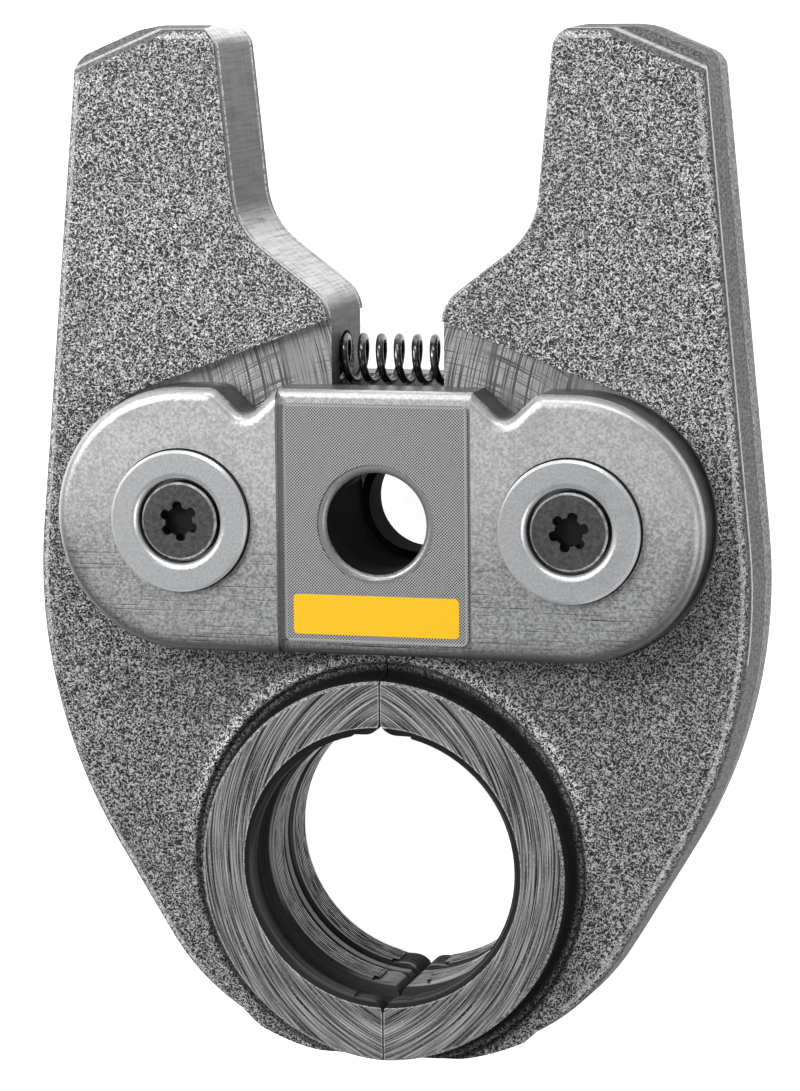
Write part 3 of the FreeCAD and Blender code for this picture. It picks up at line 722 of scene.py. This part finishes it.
def springTree(sizes):
    tree, given = newTree("springTree", sizes)
    line = put(tree, "GeometryNodeCurvePrimitiveLine").outputs[0]
    path = put(tree, "GeometryNodeResampleCurve", {"Curve": line, "Count": given["Steps"]}).outputs[0]
    factor = put(tree, "GeometryNodeSplineParameter").outputs["Factor"]
    share = blendValue(tree, factor, given["From"], given["To"])
    endShare = calc(tree, "DIVIDE", given["End Turns"], given["Turns"])
    otherEnd = calc(tree, "SUBTRACT", 1.0, endShare)
    closed = times(tree, given["Closed Pitch"], given["End Turns"])
    opened = calc(tree, "SUBTRACT", times(tree, given["Reach"], 2.0), times(tree, closed, 2.0))
    along = times(tree, given["Reach"], -1.0)
    stretches = ((0.0, endShare, closed), (endShare, otherEnd, opened), (otherEnd, 1.0, closed))
    for low, high, length in stretches:
        part = put(tree, "ShaderNodeMapRange", {"Value": share, "From Min": low, "From Max": high,
                                                "To Min": 0.0, "To Max": length}).outputs[0]
        along = calc(tree, "ADD", along, part)
    angle = times(tree, share, given["Turns"], 2 * math.pi)
    coil = joinAxes(tree, along, times(tree, calc(tree, "COSINE", angle), given["Coil Radius"]),
                    times(tree, calc(tree, "SINE", angle), given["Coil Radius"]))
    spot = vectorCalc(tree, "ADD", coil, given["Centre"])
    wound = put(tree, "GeometryNodeSetPosition", {"Geometry": path, "Position": spot}).outputs[0]
    endTree(tree, sweepTube(tree, wound, given["Wire Radius"], given["Wire Sides"]), given["Material"])
    return tree


def addSpring(material):
    halves = {"left": (0.0, 0.5, -springPocketMouth), "right": (0.5, 1.0, springPocketMouth)}
    tree = None
    for word, (start, end, mouth) in halves.items():
        sizes = dict(springLook, From=start, To=end, Material=material)
        tree = tree or springTree(sizes)
        piece = growPiece(word + "_spring_half", tree, sizes)
        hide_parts("closing_spring")
        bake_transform(piece)
    print("spring wound")


# Fine ridges that the turning tool left on the lands of the pressing contour.
ridgeLook = {
    "Centre": (0.0, -0.0488, 0.0),
    "Radius": 0.01905,
    "Wire Radius": 0.00015,
    "Wire Sides": 6,
    "Arc Steps": 90,
    "Pitch": 0.00062,
}
ridgeEnd = math.radians(10.5)
ridgeRows = {"mid": (7, -0.00150), "back": (8, -0.01245)}     # how many, and the lowest one's height


def ridgeTree(sizes):
    tree, given = newTree("ridgeTree", sizes)
    arc = put(tree, "GeometryNodeCurveArc", {
        "Resolution": given["Arc Steps"], "Radius": given["Radius"], "Start Angle": given["Start"],
        "Sweep Angle": given["Sweep"]}, mode="RADIUS").outputs[0]
    ridge = sweepTube(tree, arc, given["Wire Radius"], given["Wire Sides"])
    lowest = vectorCalc(tree, "ADD", given["Centre"], joinAxes(tree, 0.0, 0.0, given["Lowest"]))
    rows = put(tree, "GeometryNodeMeshLine", {
        "Count": given["Count"], "Start Location": lowest,
        "Offset": joinAxes(tree, 0.0, 0.0, given["Pitch"])}).outputs[0]
    stacked = put(tree, "GeometryNodeInstanceOnPoints", {"Points": rows, "Instance": ridge}).outputs[0]
    endTree(tree, stacked, given["Material"])
    return tree


ridgeFinish = {
    "metallic": 0.9,
    "wearAndGlintScale": (250.0, 250.0, 1500.0),
    "crestEdge": (0.00005, 0.00002),
    "tone": (0.025, 0.62),
    "rough": 0.28,
    "bumpDepth": 0.00002,
}


def ridgeSteel():
    material, tree, shader = newMaterial("ridgeSteel", ridgeFinish["metallic"])
    spot, x, y = partAxes(tree, "spot", "x", "y")
    out = away(tree, x, y, *ridgeLook["Centre"][:2])
    low = ridgeLook["Radius"] - ridgeLook["Wire Radius"]
    onCrest = rise(tree, out, *(low + step for step in ridgeFinish["crestEdge"]))
    wearAndGlint = noise(tree, stretched(tree, spot, ridgeFinish["wearAndGlintScale"]), 1.0, 2.0, 0.6)
    dark, pale = ridgeFinish["tone"]
    # painted glints on the ridge crests, in patches
    crestGlint = times(tree, onCrest, rise(tree, wearAndGlint, 0.3, 0.6))
    colour = blendColour(tree, crestGlint, grey(dark), grey(pale, 0.01))
    finishWith(tree, shader, colour, ridgeFinish["rough"], bump(tree, wearAndGlint, ridgeFinish["bumpDepth"], 0.3))
    return material


def addRidges():
    material = ridgeSteel()
    starts = {"right": ridgeEnd - math.pi / 2, "left": ridgeEnd + math.pi / 2}
    tree = None
    for word, start in starts.items():
        for row, (count, lowest) in ridgeRows.items():
            sizes = dict(ridgeLook, Start=start, Sweep=math.pi - 2 * ridgeEnd, Count=count, Lowest=lowest,
                         Material=material)
            tree = tree or ridgeTree(sizes)
            piece = growPiece("%s_%s_ridges" % (word, row), tree, sizes)
            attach(piece, word + "_jaw")
    print("land ridges turned")


# A plain printed bar on the label.
barLook = {
    "low": (-0.01185, -0.0156),
    "high": (0.01185, -0.0100),
    "bottom": 0.0149,
    "top": 0.01493,
    "round": 0.0006,
    "cornerSteps": 6,
    "yellow": (0.86, 0.50, 0.002, 1.0),
    "deepYellow": (0.76, 0.42, 0.002, 1.0),
    "grainScale": 1200.0,
    "rough": 0.5,
    "bumpDepth": 0.00001,
}


def roundedPlate(name, low, high, bottom, top, radius, steps):
    corners = [(high[0] - radius, high[1] - radius, 0), (low[0] + radius, high[1] - radius, 90),
               (low[0] + radius, low[1] + radius, 180), (high[0] - radius, low[1] + radius, 270)]
    outline = []
    for cx, cy, start in corners:
        for step in range(steps + 1):
            angle = math.radians(start + 90 * step / steps)
            outline.append((cx + radius * math.cos(angle), cy + radius * math.sin(angle)))
    count = len(outline)
    points = [(px, py, level) for level in (bottom, top) for px, py in outline]
    faces = [tuple(range(count, 2 * count)), tuple(reversed(range(count)))]
    for index in range(count):
        after = (index + 1) % count
        faces.append((index, after, after + count, index + count))
    mesh = bpy.data.meshes.new(name)
    mesh.from_pydata(points, [], faces)
    piece = bpy.data.objects.new(name, mesh)
    bpy.context.scene.collection.objects.link(piece)
    return piece


def addLabelBar():
    piece = roundedPlate("label_bar", barLook["low"], barLook["high"], barLook["bottom"], barLook["top"],
                         barLook["round"], barLook["cornerSteps"])
    piece.data.materials.append(barYellow())
    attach(piece, "links")
    print("label bar laid on")


floorLook = {
    "halfSize": 3.0,
    "drop": 0.00002,        # below the lowest face of the part
    "colour": grey(0.86),
    "glow": 0.92,
    "rough": 0.9,
    "specular": 0.1,
}


def addFloor():
    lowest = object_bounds()[0].z - floorLook["drop"]
    reach = floorLook["halfSize"]
    mesh = bpy.data.meshes.new("floor")
    mesh.from_pydata([(-reach, -reach, lowest), (reach, -reach, lowest), (reach, reach, lowest),
                      (-reach, reach, lowest)], [], [(0, 1, 2, 3)])
    plane = bpy.data.objects.new("floor", mesh)
    bpy.context.scene.collection.objects.link(plane)
    material, tree, shader = newMaterial("floorPaper", 0.0)
    shader.inputs["Base Color"].default_value = floorLook["colour"]
    shader.inputs["Roughness"].default_value = floorLook["rough"]
    shader.inputs["Specular IOR Level"].default_value = floorLook["specular"]
    ray = put(tree, "ShaderNodeLightPath").outputs
    seen = highest(tree, *(ray[kind] for kind in ("Is Camera Ray", "Is Glossy Ray", "Is Transmission Ray")))
    glow = put(tree, "ShaderNodeEmission", {"Strength": times(tree, seen, floorLook["glow"])})
    both = put(tree, "ShaderNodeAddShader", {0: shader.outputs[0], 1: glow.outputs[0]})
    tree.links.new(both.outputs[0], tree.nodes["Material Output"].inputs["Surface"])
    mesh.materials.append(material)
    print("floor laid")


lightLook = {
    # name: place, size, watts
    "keyWindow": ((-0.42, 0.30, 0.50), (0.34, 0.34), 4.4),
    "topStrip": ((0.05, 0.75, 0.42), (0.60, 0.12), 3.2),
    "fill": ((0.55, -0.25, 0.60), (0.50, 0.50), 2.0),
}
lightAim = (0.0, -0.005, 0.0)
skyLook = {"colour": (0.93, 0.96, 1.0, 1.0), "strength": 0.27}


def addLights():
    scene = bpy.context.scene
    world = scene.world or bpy.data.worlds.new("world")
    scene.world = world
    world.use_nodes = True
    sky = world.node_tree.nodes["Background"]
    sky.inputs["Color"].default_value = skyLook["colour"]
    sky.inputs["Strength"].default_value = skyLook["strength"]
    for name, (place, size, watts) in lightLook.items():
        lamp = bpy.data.lights.new(name, "AREA")
        lamp.shape = "RECTANGLE"
        lamp.size, lamp.size_y = size
        lamp.energy = watts
        item = bpy.data.objects.new(name, lamp)
        item.location = place
        item.rotation_euler = (Vector(lightAim) - Vector(place)).to_track_quat("-Z", "Y").to_euler()
        scene.collection.objects.link(item)
    print("lights hung")


cameraLook = {
    "place": (0.15049, 0.08154, 0.55294),
    "azimuth": 15.276,      # degrees round from straight above, towards +X
    "elevation": 8.597,     # degrees towards the arms
    "roll": -0.591,
    "lens": 135.14,
    "film": 36.0,           # mm, the long side
    "near": 0.05,
    "far": 5.0,
}


def addCamera():
    azimuth, elevation, roll = (math.radians(cameraLook[key]) for key in ("azimuth", "elevation", "roll"))
    forward = Vector((-math.sin(azimuth) * math.cos(elevation), -math.sin(elevation),
                      -math.cos(azimuth) * math.cos(elevation)))
    level = forward.cross(Vector((0, 1, 0))).normalized()
    raised = level.cross(forward)
    right = math.cos(roll) * level + math.sin(roll) * raised
    up = math.cos(roll) * raised - math.sin(roll) * level
    turn = Matrix((right, up, -forward)).transposed()
    lens = bpy.data.cameras.new("camera")
    lens.lens = cameraLook["lens"]
    lens.sensor_width = cameraLook["film"]
    lens.clip_start, lens.clip_end = cameraLook["near"], cameraLook["far"]
    item = bpy.data.objects.new("camera", lens)
    item.matrix_world = Matrix.Translation(Vector(cameraLook["place"])) @ turn.to_4x4()
    bpy.context.scene.collection.objects.link(item)
    bpy.context.scene.camera = item
    print("camera placed")


bpy.context.scene.view_settings.view_transform = "Standard"
finishes = dressNodes()
addSpring(finishes["spring"])
addRidges()
addLabelBar()
addFloor()
addLights()
addCamera()
